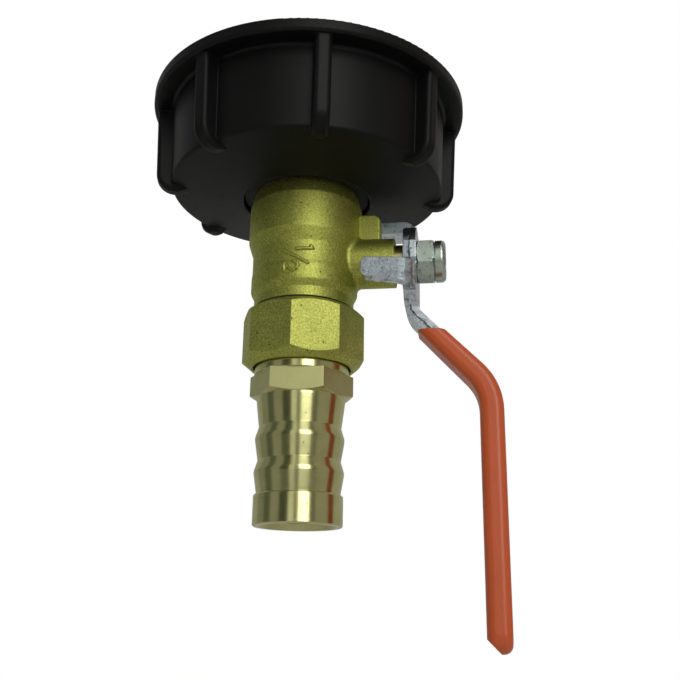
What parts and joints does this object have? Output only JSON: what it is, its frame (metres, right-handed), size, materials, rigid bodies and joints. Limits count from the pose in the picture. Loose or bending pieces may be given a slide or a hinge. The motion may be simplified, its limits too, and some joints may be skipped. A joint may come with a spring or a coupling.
{
  "type": "ibc tank valve",
  "caption": "Coarse-threaded black tank cap carrying a brass lever ball valve that ends in a barbed hose tail; the cranked lever turns the ball a quarter turn.",
  "frame": {"origin": "centre of the cap's mouth plane, on the flow axis", "axes": "+Z along the flow axis and out of the cap's mouth, +X along the stem towards the lever, +Y away from the side the lever swings to"},
  "size_m": [0.0851, 0.078, 0.1299],
  "materials": {
    "cap_plastic": "moulded black polypropylene, satin",
    "seal_rubber": "moulded black rubber",
    "forged_brass": "forged and shot blasted, matt",
    "machined_brass": "machined, satin",
    "turned_brass": "turned bright, fine tool lines",
    "sealant": "dark cured thread sealant",
    "ball_chrome": "polished chrome plate",
    "seat_plastic": "white seat plastic",
    "zinc_steel": "stamped steel, bright zinc plate",
    "grip_vinyl": "dipped orange vinyl, soft gloss"
  },
  "bodies": {
    "valve": {"cap_shell": "cap_plastic", "cap_gasket": "seal_rubber", "shoulder_washer": "seal_rubber", "valve_body": "forged_brass", "end_piece": "machined_brass", "body_seal": "sealant", "inlet_seat": "seat_plastic", "outlet_seat": "seat_plastic", "thrust_washer": "seat_plastic", "stem_packing": "seat_plastic", "packing_gland": "machined_brass", "hose_tail": "turned_brass", "tail_washer": "seal_rubber"},
    "handle": {"stem": "machined_brass", "stem_o_ring": "seal_rubber", "lever": "zinc_steel", "lever_grip": "grip_vinyl", "lever_nut": "zinc_steel", "nut_insert": "seat_plastic"},
    "closure": {"ball": "ball_chrome"}
  },
  "joints": [
    {"name": "lever_turn", "type": "hinge", "parent": "valve", "child": "handle", "pos_m": [0, 0, -0.042], "axis": [-1, 0, 0], "range_deg": [0, 90]},
    {"name": "ball_turn", "type": "hinge", "parent": "valve", "child": "closure", "pos_m": [0, 0, -0.042], "axis": [-1, 0, 0], "range_deg": [0, 90]}
  ],
  "couplings": [
    {"joint": "ball_turn", "follows": "lever_turn", "ratio": 1}
  ]
}
